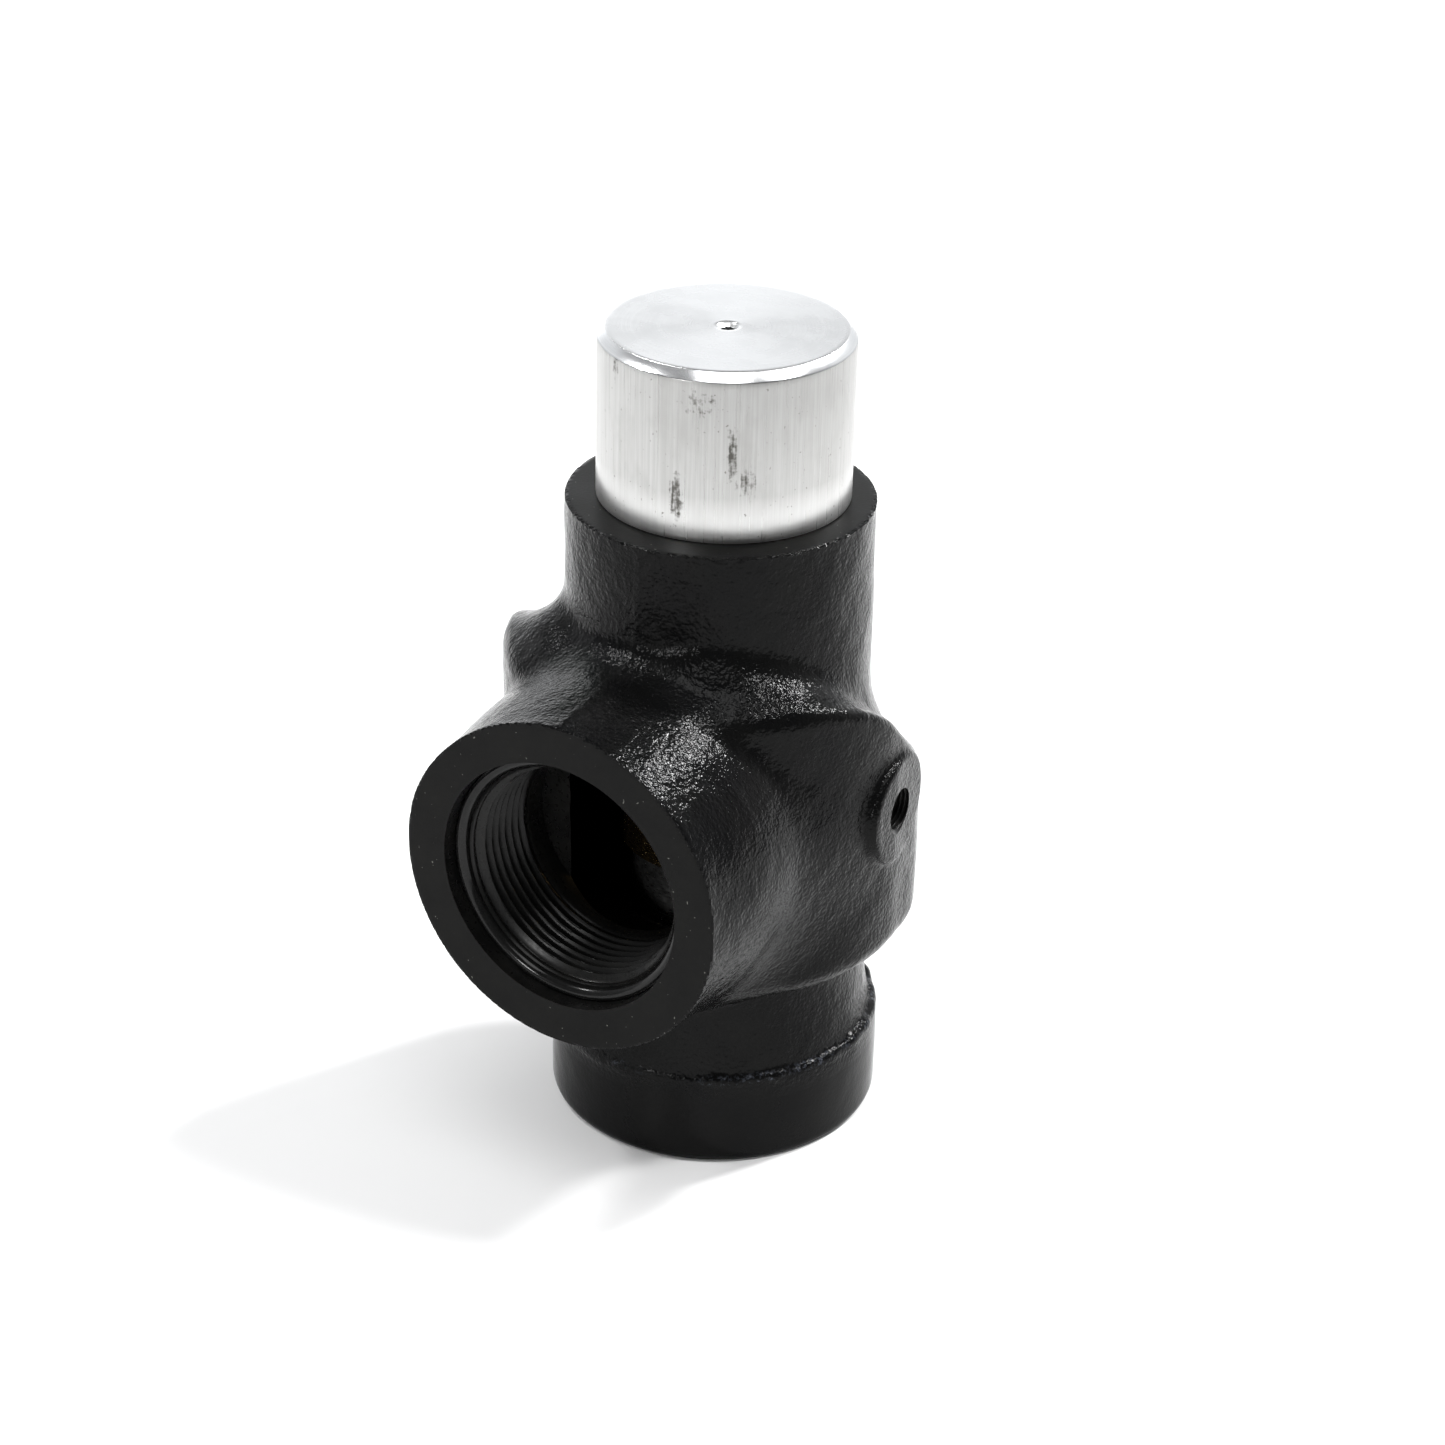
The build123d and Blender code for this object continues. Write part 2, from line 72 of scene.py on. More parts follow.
# ---------------------------------------------------------------- sizes, mm
CAST = (-0.45, -1.05)  # the rough casting's axis, off the machined one
BASE = (0.6, 0.3)  # the base band's axis
BASE_R, BASE_TOP = 34.8, 20.2
BAND_TO_SKIN = (15.0, 19.0)  # heights between which the smooth band gives way to the cast skin
BEAD_R = 1.3
FLARE_SLOPE = 0.30
WAIST_R = 32.3
DRUM_R, DRUM_BOTTOM = 42.5, 42.5
EAVE_Z, ROOF_SLOPE = 106.5, 0.85
BACK_Y, BACK_SLOPE = -17.0, 0.6
NECK_R, NECK_TOP, NECK_TAPER = 31.0, 137.4, 0.008
NECK_SHIFT = 0.5  # to the right of the rest of the casting
OUT_Z, OUT_FACE = 76.3, -60.6
BARREL_FACE_R, BARREL_ROOT_R, BARREL_FLARE = 34.9, 36.6, 20.0
GAUGE_Z, GAUGE_FACE, PAD_R, PAD_FLANK = 78.0, 43.3, 11.3, 0.3
CHAMBER_R, FLOOR_Z, ROOF_Z = 35.0, 46.0, 99.0
NPT_PITCH, NPT_DEPTH, NPT_TAPER = 2.209, 1.62, 1 / 32
NPT_ROOT = NPT_PITCH / 16  # spacing of the rows that draw the large threads
OUTLET_R, INLET_R = 22.0, 21.95
RUN_OUT_R = 21.4  # plain bore behind both large threads
RECESS_R, RECESS_DEPTH = 26.4, 4.2
LIP_R, LIP_EDGE_R, LIP_START = 1.8, 25.55, 3.1
CONE_START, CONE_R, CONE_SLOPE = 5.0, 23.7, 0.75
THROAT_R, SEAT_R, CLIP_R = 17.0, 19.4, 20.9
GUIDE_R, PLUG_R = 20.02, 22.5
GAUGE_R, GAUGE_PITCH, GAUGE_DEPTH = 4.4, 0.941, 0.62
CAP_R, CAP_TOP, CAP_CHAMFER = 25.4, 172.2, 1.72
CAP_THREAD_R, CAP_PITCH, CAP_DEPTH = 21.7, 2.117, 0.7
CAP_HOLLOW_R, CAP_HOLLOW_TOP = 17.5, 160.0
DRILL_R = 1.45
SPRING_R, WIRE_R, SPRING_TURNS = 10.2, 1.8, 7.5
SPRING_LOW, SPRING_HIGH, SPRING_KEEP = 57.9, 108.4, 0.842
VOXEL = 0.68
FINE_TURN, CAP_TURN = 240, 256  # points round the thread cutters and the cap
PAINT_IOR = 1.185

# places of the materials on the body and on the cap
PAINTED, MACHINED, BORED, AS_CAST, GLOSSY = range(5)
TURNED, EDGE = 1, 2


# ---------------------------------------------------------------- fields
def join(a, b, r):
    """Union of two distance fields with a fillet of radius r."""
    u, v = np.maximum(r - a, 0), np.maximum(r - b, 0)
    return np.maximum(r, np.minimum(a, b)) - np.hypot(u, v)


def meet(a, b, r):
    """Intersection of two distance fields with an edge radius r."""
    return -join(-a, -b, r)


def ramp(t, low, high):
    """Smooth step from 0 at low to 1 at high."""
    s = np.clip((t - low) / (high - low), 0, 1)
    return s * s * (3 - 2 * s)


def hash_noise(ix, iy, iz, seed):
    """Random numbers in -1..1 at whole lattice points."""
    n = ix * 73856093 ^ iy * 19349663 ^ iz * 83492791 ^ (seed * 2654435761)
    n = (n ^ (n >> 13)) * 1274126177 & 0xFFFFFFFF
    n = (n ^ (n >> 16)) * 2246822519 & 0xFFFFFFFF
    return ((n ^ (n >> 15)) & 0xFFFF) / 32767.5 - 1.0


def noise(p, size, seed):
    """Smooth random field in about -1..1 whose lumps are `size` long."""
    q = p / size
    i = np.floor(q).astype(np.int64)
    f = q - i
    f = f * f * (3 - 2 * f)
    total = 0.0
    for dx in (0, 1):
        wx = f[..., 0] if dx else 1 - f[..., 0]
        for dy in (0, 1):
            wy = f[..., 1] if dy else 1 - f[..., 1]
            for dz in (0, 1):
                wz = f[..., 2] if dz else 1 - f[..., 2]
                total = total + wx * wy * wz * hash_noise(
                    i[..., 0] + dx, i[..., 1] + dy, i[..., 2] + dz, seed
                )
    return total


def casting(x, y, z):
    """Outside of the casting, with its end faces where the machining left them."""
    rc = np.hypot(x - CAST[0], y - CAST[1])
    back = ramp(y, -10.0, 18.0)
    left = ramp(-x, 14.0, 30.0)

    # main chamber, standing out a little beside the outlet
    side = rc - DRUM_R + 0.30 - 0.9 * left * ramp(-y, 6.0, 14.0) * ramp(z, 82.0, 90.0)
    front_roof = (z - EAVE_Z - ROOF_SLOPE * (DRUM_R - rc)) / math.hypot(1, ROOF_SLOPE)
    right = ramp(x, 0.0, 20.0)
    slope = BACK_SLOPE + 0.25 * right
    start = BACK_Y + 4.5 * left + 5.5 * right
    back_roof = (z - EAVE_Z + slope * (y - start)) / np.hypot(1, slope)
    roof = meet(front_roof, back_roof, 8.0 - 4.0 * left)
    side = side - (0.75 + 0.1 * ramp(70.0 - z, 0.0, 8.0)) * right * ramp(y, 4.0, 14.0)
    drum = meet(side, roof, 1.8 + back * (7.0 - 4.8 * right))
    drum = meet(drum, DRUM_BOTTOM - z, 2.6 + 3.6 * ramp(x, 5.0, 30.0))

    # waist and base band, with an uneven bead round the top of the band
    waist = np.maximum(rc - WAIST_R, np.abs(z - 30.0) - 20.0)
    body = join(drum, waist, 3.5)
    rb = np.hypot(x - BASE[0], y - BASE[1])
    band = meet(rb - BASE_R, z - BASE_TOP, 0.8)
    flare = (rb - BASE_R + 1.7 + FLARE_SLOPE * (z - BASE_TOP)) / math.hypot(1, FLARE_SLOPE)
    flare = np.maximum(flare, np.abs(z - BASE_TOP - 8.0) - 8.5)
    body = join(body, flare, 4.0)
    body = join(body, band, 0.5)
    turn = np.arctan2(y, x)
    uneven = np.sin(7 * turn + 1) + 0.9 * np.sin(17 * turn) + 0.8 * np.sin(31 * turn + 2)
    bead = np.hypot(rb - BASE_R + BEAD_R, z - BASE_TOP + 0.3) - BEAD_R - 0.14 * uneven
    body = join(body, bead, 0.3)
    body = meet(body, -z, 1.6)

    # neck
    neck = np.hypot(x - CAST[0] - NECK_SHIFT, y - CAST[1]) - NECK_R - NECK_TAPER * (NECK_TOP - z)
    neck = np.maximum(neck, 70.0 - z)
    body = join(body, neck, 6.0 + 5.0 * back * right + 3.0 * left * (1 - back))

    # outlet branch, its crown slightly peaked along the parting line
    peak = 2.6 * ramp(z, OUT_Z + 8.0, OUT_Z + 30.0)
    rho = np.hypot(np.abs(x) + peak, z - OUT_Z) - 0.62 * peak * np.abs(x) / BARREL_FACE_R
    swell = (BARREL_ROOT_R - BARREL_FACE_R) * ramp(y, OUT_FACE, OUT_FACE + BARREL_FLARE)
    barrel = np.maximum(rho - BARREL_FACE_R - 0.25 - swell, y)
    fillet = (3.0 + 4.5 * (1 - ramp(z, 76.0, 97.0))) * (1 - 0.5 * left * ramp(z, 84, 92))
    body = join(body, barrel, fillet)
    body = meet(body, OUT_FACE - y, 0.4)
    body = meet(body, z - NECK_TOP, 0.35)

    # gauge port pad
    rx = np.hypot(y, z - GAUGE_Z)
    pad = (rx - PAD_R - PAD_FLANK * (GAUGE_FACE - x)) / math.hypot(1, PAD_FLANK)
    face = x - GAUGE_FACE + 0.12 * np.maximum(y + 3.0, 0.0)
    pad = np.maximum(meet(pad, face, 0.7), 34.0 - x)
    return join(body, pad, 1.0)


def hollow(x, y, z):
    """Cast chamber round the piston."""
    rc = np.hypot(x - CAST[0], y - CAST[1])
    side = rc - CHAMBER_R
    roof = (z - ROOF_Z + BACK_SLOPE * (y - BACK_Y)) / math.hypot(1, BACK_SLOPE)
    roof = np.maximum(roof, z - ROOF_Z)
    room = meet(side, roof, 5.0)
    return meet(room, FLOOR_Z - z, 5.0)


def body_field(x, y, z):
    """The casting with its chamber taken out."""
    return np.maximum(casting(x, y, z), -hollow(x, y, z))


# ---------------------------------------------------------------- meshing
CORNERS = [(i, j, k) for i in (0, 1) for j in (0, 1) for k in (0, 1)]
EDGES = [
    (a, b)
    for a in CORNERS
    for b in CORNERS
    if a < b and sum(abs(p - q) for p, q in zip(a, b)) == 1
]


def surface_nets(field, origin, step):
    """Closed quad mesh round the negative side of a sampled field."""
    inside = field < 0
    nx, ny, nz = field.shape
    count = np.zeros((nx - 1, ny - 1, nz - 1), np.uint8)
    for i, j, k in CORNERS:
        count += inside[i : nx - 1 + i, j : ny - 1 + j, k : nz - 1 + k]
    active = (count > 0) & (count < 8)
    cells = np.argwhere(active)
    ids = np.full(active.shape, -1, np.int64)
    ids[active] = np.arange(len(cells))
    total, hits = np.zeros((len(cells), 3)), np.zeros(len(cells))
    for a, b in EDGES:
        fa = field[tuple((cells + a).T)]
        fb = field[tuple((cells + b).T)]
        cross = (fa < 0) != (fb < 0)
        t = np.where(cross, fa / np.where(cross, fa - fb, 1), 0)
        p = np.array(a) + t[:, None] * (np.array(b) - np.array(a))
        total += p * cross[:, None]
        hits += cross
    verts = origin + step * (cells + total / hits[:, None])
    quads = []
    for axis in range(3):
        u, v = (axis + 1) % 3, (axis + 2) % 3
        lo = [slice(1, -1)] * 3
        hi = [slice(1, -1)] * 3
        lo[axis], hi[axis] = slice(0, -1), slice(1, None)
        a, b = inside[tuple(lo)], inside[tuple(hi)]
        for first, flip in ((a & ~b, False), (~a & b, True)):
            at = np.argwhere(first)
            at[:, u] += 1
            at[:, v] += 1
            eu, ev = np.zeros(3, int), np.zeros(3, int)
            eu[u], ev[v] = 1, 1
            ring = [at, at - eu, at - eu - ev, at - ev]
            if flip:
                ring = ring[::-1]
            quads.append(np.stack([ids[tuple(c.T)] for c in ring], 1))
    return verts, np.concatenate(quads)


def gradient(fn, p, h=0.02):
    """Slope of a field at points, by differences."""
    g = np.empty_like(p)
    for axis in range(3):
        d = np.zeros(3)
        d[axis] = h
        hi, lo = p + d, p - d
        g[:, axis] = fn(*hi.T) - fn(*lo.T)
    return g / (2 * h)


def settle(fn, p, step, rounds=3):
    """Moves points onto the field's zero surface."""
    for _ in range(rounds):
        g = gradient(fn, p)
        move = fn(*p.T)[:, None] * g / np.maximum((g * g).sum(1), 0.05)[:, None]
        size = np.linalg.norm(move, axis=1)[:, None]
        p = p - move * np.minimum(1, 0.6 * step / np.maximum(size, 1e-9))
    return p


def make_mesh(name, verts_mm, faces, materials, slot_of_face=None):
    """Object from vertices in mm and an index array or list of faces."""
    mesh = bpy.data.meshes.new(name)
    mesh.from_pydata((np.asarray(verts_mm, float) * MM).tolist(), [],
                     faces.tolist() if hasattr(faces, "tolist") else faces)
    for m in materials:
        mesh.materials.append(m)
    if slot_of_face is not None:
        mesh.polygons.foreach_set("material_index", np.asarray(slot_of_face, np.int32))
    mesh.update()
    ob = bpy.data.objects.new(name, mesh)
    bpy.context.scene.collection.objects.link(ob)
    return ob


def smooth(ob, angle=32):
    """Smooth shading with sharp edges above an angle."""
    mesh = ob.data
    mesh.polygons.foreach_set("use_smooth", np.ones(len(mesh.polygons), bool))
    mesh.set_sharp_from_angle(angle=math.radians(angle))


def lathe(rows, axis, origin, segments, thread=None):
    """Closed turned shape. rows: (along, radius, thread height factor).

    axis 'Z' runs up from origin, 'Y' runs inwards along +Y and 'X' inwards along -X.
    thread: (pitch, depth) adds a helical ridge outwards of the radius.
    """
    rows = np.array(rows, float)
    theta = np.arange(segments) * TAU / segments
    s, r, k = rows[:, 0:1], rows[:, 1:2], rows[:, 2:3]
    if thread:
        pitch, depth = thread
        phase = (s / pitch - theta[None] / TAU) % 1.0
        vee = np.clip(1 - np.abs(phase - 0.5) * 2.0, 0, 1)
        vee = np.clip((vee - 0.06) / 0.88, 0, 1)
        rr = r + k * depth * vee
    else:
        rr = r + 0 * theta[None]
    c, d = rr * np.cos(theta), rr * np.sin(theta)
    a = np.broadcast_to(s, rr.shape)
    if axis == "Z":
        pts = np.stack([c, d, a], -1)
    elif axis == "Y":
        pts = np.stack([c, a, -d], -1)
    else:
        pts = np.stack([-a, c, -d], -1)
    pts = pts.reshape(-1, 3)
    n = len(rows)
    j = np.arange(segments)
    jn = (j + 1) % segments
    faces = []
    for i in range(n - 1):
        low, high = i * segments, (i + 1) * segments
        q = np.stack([low + j, low + jn, high + jn, high + j], 1)
        faces.extend(q.tolist())
    faces.append(list(reversed(range(segments))))
    faces.append([(n - 1) * segments + q for q in range(segments)])
    return pts + np.array(origin, float), faces


def cut(target, tool):
    """Subtracts a closed tool from target and removes the tool."""
    mod = target.modifiers.new("cut", "BOOLEAN")
    mod.operation, mod.object, mod.solver = "DIFFERENCE", tool, "MANIFOLD"
    dg = bpy.context.evaluated_depsgraph_get()
    made = bpy.data.meshes.new_from_object(target.evaluated_get(dg))
    target.modifiers.clear()
    old = target.data
    target.data = made
    bpy.data.meshes.remove(old)
    bpy.data.objects.remove(tool)


# ---------------------------------------------------------------- materials
class Graph:
    """Shorthand for building node materials."""

    def __init__(self, name):
        self.mat = bpy.data.materials.new(name)
        self.mat.use_nodes = True
        self.tree = self.mat.node_tree
        self.tree.nodes.clear()
        self.out = self.node("ShaderNodeOutputMaterial")
        self.bsdf = self.node("ShaderNodeBsdfPrincipled")
        self.link(self.bsdf.outputs[0], self.out.inputs["Surface"])
        self.coord = self.node("ShaderNodeTexCoord").outputs["Object"]

    def node(self, kind, **props):
        n = self.tree.nodes.new(kind)
        for k, v in props.items():
            setattr(n, k, v)
        return n

    def link(self, a, b):
        self.tree.links.new(a, b)

    def value(self, target, v):
        if isinstance(v, (int, float, tuple, list)):
            target.default_value = v
        else:
            self.link(v, target)

    def split(self):
        """The three coordinates of the point being shaded, metres."""
        n = self.node("ShaderNodeSeparateXYZ")
        self.link(self.coord, n.inputs[0])
        return n.outputs

    def axis_mm(self, index):
        """One coordinate of the point being shaded, millimetres."""
        return self.math("MULTIPLY", self.split()[index], 1 / MM)

    def scale(self, vector, xyz):
        n = self.node("ShaderNodeVectorMath", operation="MULTIPLY")
        self.value(n.inputs[0], vector)
        n.inputs[1].default_value = xyz
        return n.outputs[0]

    def math(self, op, a, b=0.0):
        n = self.node("ShaderNodeMath", operation=op)
        self.value(n.inputs[0], a)
        self.value(n.inputs[1], b)
        return n.outputs[0]

    def noise(self, size_mm, detail=3.0, rough=0.55, vector=None):
        n = self.node("ShaderNodeTexNoise")
        self.link(vector if vector is not None else self.coord, n.inputs["Vector"])
        n.inputs["Scale"].default_value = 1000.0 / size_mm
        n.inputs["Detail"].default_value = detail
        n.inputs["Roughness"].default_value = rough
        return n.outputs["Fac"]

    def ramp(self, fac, low, high, a=0.0, b=1.0):
        n = self.node("ShaderNodeMapRange", clamp=True)
        self.value(n.inputs["Value"], fac)
        n.inputs["From Min"].default_value = low
        n.inputs["From Max"].default_value = high
        n.inputs["To Min"].default_value = a
        n.inputs["To Max"].default_value = b
        return n.outputs["Result"]

    def mix(self, fac, a, b):
        n = self.node("ShaderNodeMix", data_type="RGBA")
        self.value(n.inputs["Factor"], fac)
        self.value(n.inputs[6], (*a, 1) if isinstance(a, tuple) else a)
        self.value(n.inputs[7], (*b, 1) if isinstance(b, tuple) else b)
        return n.outputs[2]

    def bump(self, height, mm, normal=None):
        n = self.node("ShaderNodeBump")
        n.inputs["Strength"].default_value = 1.0
        n.inputs["Distance"].default_value = mm * MM
        self.link(height, n.inputs["Height"])
        if normal is not None:
            self.link(normal, n.inputs["Normal"])
        return n.outputs[0]

    def set(self, **kw):
        """Fills the shader's inputs and returns the finished material."""
        names = {"color": "Base Color", "metal": "Metallic", "rough": "Roughness", "normal": "Normal",
                 "ior": "IOR"}
        for k, v in kw.items():
            self.value(self.bsdf.inputs[names[k]], v)
        return self.mat


def cast_paint():
    """Gloss black over the sand-cast skin: grain above the base band; along its bead, scuffs and a painted
    highlight.
    """
    g = Graph("cast_black_paint")
    grain = g.noise(0.80, 2, 0.5)
    lumps = g.noise(2.0, 2, 0.5)
    broad = g.noise(14, 3, 0.5)
    height = g.axis_mm(2)
    rough_skin = g.ramp(height, *BAND_TO_SKIN, 0.15, 1.0)
    # painted highlight and scuffs: a lighter bluish line along the bead, broken up by noise
    bead_highlight_and_wear = g.math("MULTIPLY", g.ramp(height, BASE_TOP - 1.0, BASE_TOP - 0.2),
                  g.ramp(height, BASE_TOP + 0.7, BASE_TOP + 1.3, 1.0, 0.0))
    bead_highlight_and_wear = g.math("MULTIPLY", bead_highlight_and_wear, g.ramp(g.noise(9.0, 2, 0.5), 0.46, 0.60))
    bead_highlight_and_wear = g.math("MULTIPLY", bead_highlight_and_wear, g.ramp(g.noise(0.9, 3, 0.7), 0.50, 0.68))
    n = g.bump(g.math("MULTIPLY", lumps, rough_skin), 0.16)
    n = g.bump(g.math("MULTIPLY", grain, rough_skin), 0.21, n)
    color = g.mix(g.ramp(broad, 0.35, 0.7), (0.0026, 0.0027, 0.0029), (0.0048, 0.0048, 0.0046))
    color = g.mix(g.math("MULTIPLY", bead_highlight_and_wear, 0.8), color, (0.085, 0.092, 0.11))
    rough = g.ramp(broad, 0.3, 0.7, 0.10, 0.15)
    return g.set(color=color, rough=rough, normal=n, ior=PAINT_IOR)


def faced_paint():
    """Painted machined faces: even and a little dull, with a few chips."""
    g = Graph("machined_face_paint")
    fine = g.noise(0.5, 2, 0.5)
    broad = g.noise(9, 3, 0.5)
    chips = g.ramp(g.noise(0.8, 2, 0.4), 0.745, 0.765)
    color = g.mix(g.ramp(broad, 0.3, 0.7), (0.0050, 0.0050, 0.0050), (0.0072, 0.0072, 0.0068))
    color = g.mix(chips, color, (0.12, 0.12, 0.11))
    n = g.bump(fine, 0.02)
    return g.set(color=color, rough=g.ramp(broad, 0.3, 0.7, 0.34, 0.42), normal=n, ior=1.16)


def bore_finish():
    """Threads and bores under a thin coat of paint."""
    g = Graph("machined_bore")
    r = g.noise(0.8, 2, 0.5)
    n = g.bump(r, 0.004)
    color = g.mix(g.ramp(g.noise(5, 3), 0.3, 0.7), (0.005, 0.005, 0.005), (0.010, 0.0098, 0.0092))
    return g.set(color=color, rough=g.ramp(r, 0.3, 0.7, 0.26, 0.34), normal=n, ior=1.27)


def glossy_lip():
    """Rounded lip in the outlet, where the paint ran thick."""
    g = Graph("painted_lip")
    broad = g.noise(4.0, 3, 0.5)
    color = g.mix(g.ramp(broad, 0.3, 0.7), (0.005, 0.005, 0.005), (0.008, 0.008, 0.0078))
    return g.set(color=color, rough=g.ramp(broad, 0.3, 0.7, 0.12, 0.20), normal=g.bump(broad, 0.05), ior=1.3)


def chamber_skin():
    """Inside of the casting: matt, as cast."""
    g = Graph("chamber_skin")
    grain = g.noise(1.1, 3, 0.55)
    color = g.mix(g.ramp(g.noise(6, 3), 0.35, 0.7), (0.004, 0.0038, 0.0033), (0.009, 0.0082, 0.0068))
    return g.set(color=color, rough=g.ramp(grain, 0.3, 0.7, 0.5, 0.65), normal=g.bump(grain, 0.3), ior=1.12)


def grime(g, patches):
    """Where dirt sits on the cap's side: specks and drawn-out lines inside a few patches.

    patches: (degrees round from the outlet side, height mm, half width mm, half height mm, depth)
    """
    x, y, z = g.split()
    round_mm = g.math("MULTIPLY", g.math("ARCTAN2", x, g.math("MULTIPLY", y, -1.0)), CAP_R)
    up_mm = g.math("MULTIPLY", z, 1 / MM)
    lines = g.noise(0.55, 2, 0.6, g.scale(g.coord, (1, 1, 0.07)))
    blots = g.noise(1.1, 3, 0.6)
    total = None
    for turn, height, wide, tall, depth in patches:
        across = g.math("SUBTRACT", round_mm, math.radians(turn) * CAP_R)
        along = g.math("SUBTRACT", up_mm, height)
        across = g.math("DIVIDE", across, wide)
        along = g.math("DIVIDE", along, tall)
        far = g.math("ADD", g.math("MULTIPLY", across, across), g.math("MULTIPLY", along, along))
        near = g.ramp(far, 0.0, 1.3, depth, 0.0)
        total = near if total is None else g.math("MAXIMUM", total, near)
    mixed = g.math("ADD", g.math("MULTIPLY", lines, 0.45), g.math("MULTIPLY", blots, 0.55))
    return g.ramp(g.math("ADD", mixed, total), 0.74, 0.90)


def drawn_aluminium():
    """Side of the bar: lines along it, duller streaks, specks and smudges.

    Painted shade darkens it towards its top on the right, and painted light brightens it close to the neck.
    """
    g = Graph("aluminium_drawn")
    lines = g.noise(0.42, 3, 0.65, g.scale(g.coord, (1, 1, 0.012)))
    streaks = g.noise(2.6, 3, 0.6, g.scale(g.coord, (1, 1, 0.05)))
    clouds = g.noise(6.0, 3, 0.6, g.scale(g.coord, (1, 1, 0.5)))
    specks = g.ramp(g.noise(0.8, 2, 0.5), 0.715, 0.75)
    n = g.bump(lines, 0.02)
    color = g.mix(g.ramp(lines, 0.32, 0.68), (0.43, 0.427, 0.418), (0.545, 0.545, 0.538))
    color = g.mix(g.ramp(streaks, 0.5, 0.75, 0, 0.45), color, (0.37, 0.366, 0.355))
    color = g.mix(g.ramp(clouds, 0.48, 0.72, 0, 0.5), color, (0.36, 0.356, 0.345))
    height = g.axis_mm(2)
    # painted shade: darker towards the top on the right
    right_side = g.ramp(g.axis_mm(0), -8.0, 18.0, 0.4, 1.0)
    painted_shade_upper_right = g.math("MULTIPLY", g.ramp(height, 141.0, 166.0, 0.08, 0.46), right_side)
    color = g.mix(painted_shade_upper_right, color, (0.20, 0.20, 0.195))
    # painted light: brighter close to the neck
    color = g.mix(g.ramp(height, 137.0, 147.0, 0.8, 0.0), color, (0.86, 0.86, 0.85))
    color = g.mix(g.math("MULTIPLY", specks, 0.8), color, (0.16, 0.15, 0.14))
    dirt = grime(g, ((9, 146, 2.0, 7.5, 0.37), (33, 156, 1.6, 7.5, 0.36), (39, 150, 3.5, 5.0, 0.29),
                     (19, 166, 6, 3.5, 0.27), (-26, 169, 1.4, 3.5, 0.32)))
    color = g.mix(g.math("MULTIPLY", dirt, 0.85), color, (0.07, 0.065, 0.055))
    rough = g.math("ADD", g.ramp(lines, 0.3, 0.7, 0.26, 0.36), g.math("MULTIPLY", dirt, 0.25))
    return g.set(color=color, metal=0.92, rough=rough, normal=n)


def turned_aluminium(name, low, high, rough, ring_bump):
    """Turned faces: fine rings about the axis."""
    g = Graph(name)
    x, y, z = g.split()
    radius = g.math("SQRT", g.math("ADD", g.math("MULTIPLY", x, x), g.math("MULTIPLY", y, y)))
    join_up = g.node("ShaderNodeCombineXYZ")
    g.link(radius, join_up.inputs[0])
    g.link(z, join_up.inputs[2])
    rings = g.noise(0.30, 2, 0.6, join_up.outputs[0])
    haze = g.noise(6.0, 3, 0.55)
    marks = g.ramp(g.noise(1.6, 3, 0.6), 0.68, 0.76)
    color = g.mix(g.ramp(rings, 0.3, 0.7), low, high)
    color = g.mix(g.ramp(haze, 0.5, 0.75, 0, 0.4), color, low)
    color = g.mix(g.math("MULTIPLY", marks, 0.18), color, (0.55, 0.55, 0.54))
    g.bsdf.inputs["Anisotropic"].default_value = 0.55
    around = g.node("ShaderNodeTangent", direction_type="RADIAL", axis="Z")
    g.link(around.outputs[0], g.bsdf.inputs["Tangent"])
    spread = g.math("ADD", g.ramp(haze, 0.3, 0.7, 0.0, 0.06), rough)
    return g.set(color=color, metal=1.0, rough=spread, normal=g.bump(rings, ring_bump))


def metal(name, color_a, color_b, rough):
    """Bare metal of the working parts: fine marks and slight changes of tone."""
    g = Graph(name)
    a = g.noise(2.0, 3, 0.55)
    fine = g.noise(0.35, 2, 0.5, g.scale(g.coord, (0.25, 0.25, 1)))
    color = g.mix(g.ramp(a, 0.3, 0.7), color_a, color_b)
    return g.set(color=color, metal=1.0, rough=g.ramp(fine, 0.3, 0.7, rough * 0.8, rough * 1.25),
                 normal=g.bump(fine, 0.01))


def plain(name, color_a, color_b, rough):
    """Rubber or plastic: soft changes of tone and gloss."""
    g = Graph(name)
    a = g.noise(2.0, 3, 0.55)
    color = g.mix(g.ramp(a, 0.3, 0.7), color_a, color_b)
    return g.set(color=color, rough=g.ramp(a, 0.3, 0.7, rough * 0.85, rough * 1.15),
                 normal=g.bump(g.noise(0.4, 2), 0.02))


CAST_PAINT = cast_paint()
FACED = faced_paint()
BORE = bore_finish()
CHAMBER = chamber_skin()
LIP = glossy_lip()
BODY_MATERIALS = [CAST_PAINT, FACED, BORE, CHAMBER, LIP]
ALU = drawn_aluminium()
ALU_FACE = turned_aluminium("aluminium_turned", (0.535, 0.538, 0.542), (0.59, 0.594, 0.598), 0.24, 0.008)
ALU_EDGE = turned_aluminium("aluminium_chamfer", (0.66, 0.67, 0.685), (0.78, 0.785, 0.79), 0.16, 0.001)
POLISHED = metal("polished_steel", (0.55, 0.55, 0.54), (0.66, 0.66, 0.65), 0.32)
STAINLESS = metal("stainless_steel", (0.48, 0.48, 0.47), (0.58, 0.57, 0.56), 0.22)
PLATED = metal("plated_steel", (0.42, 0.43, 0.45), (0.56, 0.57, 0.58), 0.3)
SPRING = metal("spring_steel", (0.14, 0.14, 0.145), (0.22, 0.22, 0.22), 0.32)
BRONZE = metal("bearing_bronze", (0.42, 0.29, 0.13), (0.53, 0.38, 0.18), 0.26)
RUBBER = plain("black_rubber", (0.012, 0.012, 0.012), (0.02, 0.02, 0.02), 0.55)
POLYMER = plain("white_fluoropolymer", (0.74, 0.73, 0.69), (0.82, 0.81, 0.78), 0.45)

